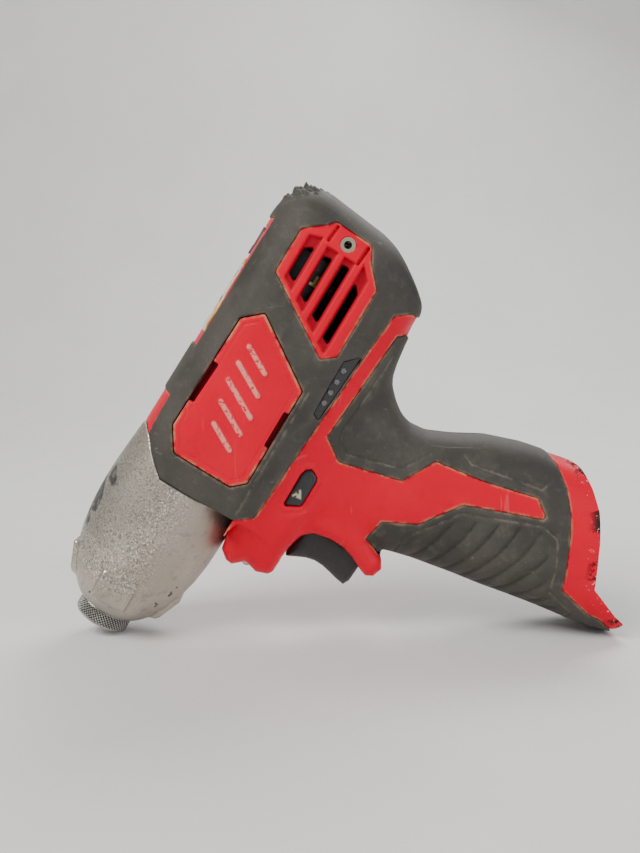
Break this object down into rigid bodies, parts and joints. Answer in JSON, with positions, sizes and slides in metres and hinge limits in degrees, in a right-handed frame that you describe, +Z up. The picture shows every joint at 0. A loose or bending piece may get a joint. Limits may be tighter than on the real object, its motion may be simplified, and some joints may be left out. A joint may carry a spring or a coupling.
{
  "type": "impact driver",
  "caption": "Compact pistol-grip cordless impact driver body with hex quick-change collet, resting on its collet and handle toe, battery socket empty.",
  "frame": {"origin": "centre of the bounding box at table level, the tool resting nose down on its collet and the toe of its handle", "axes": "+Z up from the table, +Y across the tool towards its right side, +X from the collet towards the handle base"},
  "size_m": [0.185, 0.0526, 0.1486],
  "materials": {
    "black_plastic": "satin",
    "brass": "plated",
    "bronze": "sintered",
    "cast_aluminium": "cast, worn",
    "circuit_board": "satin",
    "clear_lens": "clear",
    "copper": "enamelled",
    "dark_steel": "blackened",
    "label": "worn",
    "magnet": "matt",
    "red_plastic": "matt",
    "rubber": "matt",
    "spring_steel": "drawn",
    "steel": "ground",
    "wire_jacket": "satin"
  },
  "bodies": {
    "housing": {"left_housing": "red_plastic", "right_housing": "red_plastic", "left_body_overmold": "rubber", "right_body_overmold": "rubber", "left_grip_overmold": "rubber", "right_grip_overmold": "rubber", "left_side_panel": "red_plastic", "right_side_panel": "red_plastic", "top_label": "label", "gearcase": "cast_aluminium", "gearcase_seal": "rubber", "nose_bushing": "bronze", "ring_gear": "steel", "gear_plate": "steel", "front_bearing": "steel", "motor_can": "dark_steel", "magnets": "magnet", "brush_holder": "black_plastic", "brushes": "brass", "rear_bearing": "steel", "switch_body": "black_plastic", "gauge_panel": "black_plastic", "gauge_leds": "clear_lens", "gauge_board": "circuit_board", "work_light": "clear_lens", "terminal_block": "black_plastic", "battery_contacts": "brass", "leads": "wire_jacket", "housing_screws": "steel", "side_inserts": "steel", "trigger_spring": "spring_steel"},
    "anvil": {"anvil": "dark_steel", "anvil_oring": "rubber", "retaining_ring": "spring_steel", "collet_washer": "steel", "bit_balls": "steel", "collet_spring": "spring_steel"},
    "sleeve": {"collet_sleeve": "steel"},
    "carrier": {"planet_carrier": "steel", "planet_pins": "steel", "cam_balls": "steel", "hammer_spring": "spring_steel"},
    "hammer": {"hammer": "dark_steel", "thrust_balls": "steel", "spring_washer": "steel"},
    "planet_1": {"planet_gear_1": "steel"},
    "planet_2": {"planet_gear_2": "steel"},
    "planet_3": {"planet_gear_3": "steel"},
    "rotor": {"rotor_shaft": "steel", "pinion": "steel", "rotor_core": "steel", "windings": "copper", "commutator": "copper", "motor_fan": "black_plastic"},
    "trigger": {"trigger": "black_plastic"},
    "shuttle": {"direction_shuttle": "black_plastic"}
  },
  "joints": [
    {"name": "anvil_spin", "type": "hinge", "parent": "housing", "child": "anvil", "pos_m": [-0.07876, 0, 0.01314], "axis": [0.5255, 0, 0.8508], "continuous": true},
    {"name": "sleeve_slide", "type": "slide", "parent": "anvil", "child": "sleeve", "axis": [-0.5255, 0, -0.8508], "range_m": [0, 0.0026], "stiffness_N_per_m": 900, "springref_m": -0.004, "deforming": ["collet_spring"]},
    {"name": "carrier_spin", "type": "hinge", "parent": "housing", "child": "carrier", "pos_m": [-0.05774, 0, 0.04717], "axis": [0.5255, 0, 0.8508], "continuous": true},
    {"name": "hammer_retract", "type": "slide", "parent": "carrier", "child": "hammer", "axis": [0.5255, 0, 0.8508], "range_m": [0, 0.006], "stiffness_N_per_m": 4000, "springref_m": -0.004, "deforming": ["hammer_spring"]},
    {"name": "planet_1_spin", "type": "hinge", "parent": "carrier", "child": "planet_1", "pos_m": [-0.05841, 0, 0.06321], "axis": [0.5255, 0, 0.8508], "continuous": true},
    {"name": "planet_2_spin", "type": "hinge", "parent": "carrier", "child": "planet_2", "pos_m": [-0.04693, -0.00779, 0.05612], "axis": [0.5255, 0, 0.8508], "continuous": true},
    {"name": "planet_3_spin", "type": "hinge", "parent": "carrier", "child": "planet_3", "pos_m": [-0.04693, 0.00779, 0.05612], "axis": [0.5255, 0, 0.8508], "continuous": true},
    {"name": "rotor_spin", "type": "hinge", "parent": "housing", "child": "rotor", "pos_m": [-0.03147, 0, 0.08971], "axis": [0.5255, 0, 0.8508], "continuous": true},
    {"name": "trigger_pull", "type": "slide", "parent": "housing", "child": "trigger", "axis": [0.5255, 0, 0.8508], "range_m": [0, 0.0055], "stiffness_N_per_m": 700, "springref_m": -0.004, "deforming": ["trigger_spring"]},
    {"name": "shuttle_slide", "type": "slide", "parent": "housing", "child": "shuttle", "axis": [0, 1, 0], "range_m": [-0.0024, 0.0024]}
  ],
  "couplings": [
    {"joint": "carrier_spin", "follows": "anvil_spin", "ratio": 1},
    {"joint": "planet_1_spin", "follows": "anvil_spin", "ratio": -2.4286},
    {"joint": "planet_2_spin", "follows": "anvil_spin", "ratio": -2.4286},
    {"joint": "planet_3_spin", "follows": "anvil_spin", "ratio": -2.4286},
    {"joint": "rotor_spin", "follows": "anvil_spin", "ratio": 6.6667}
  ]
}
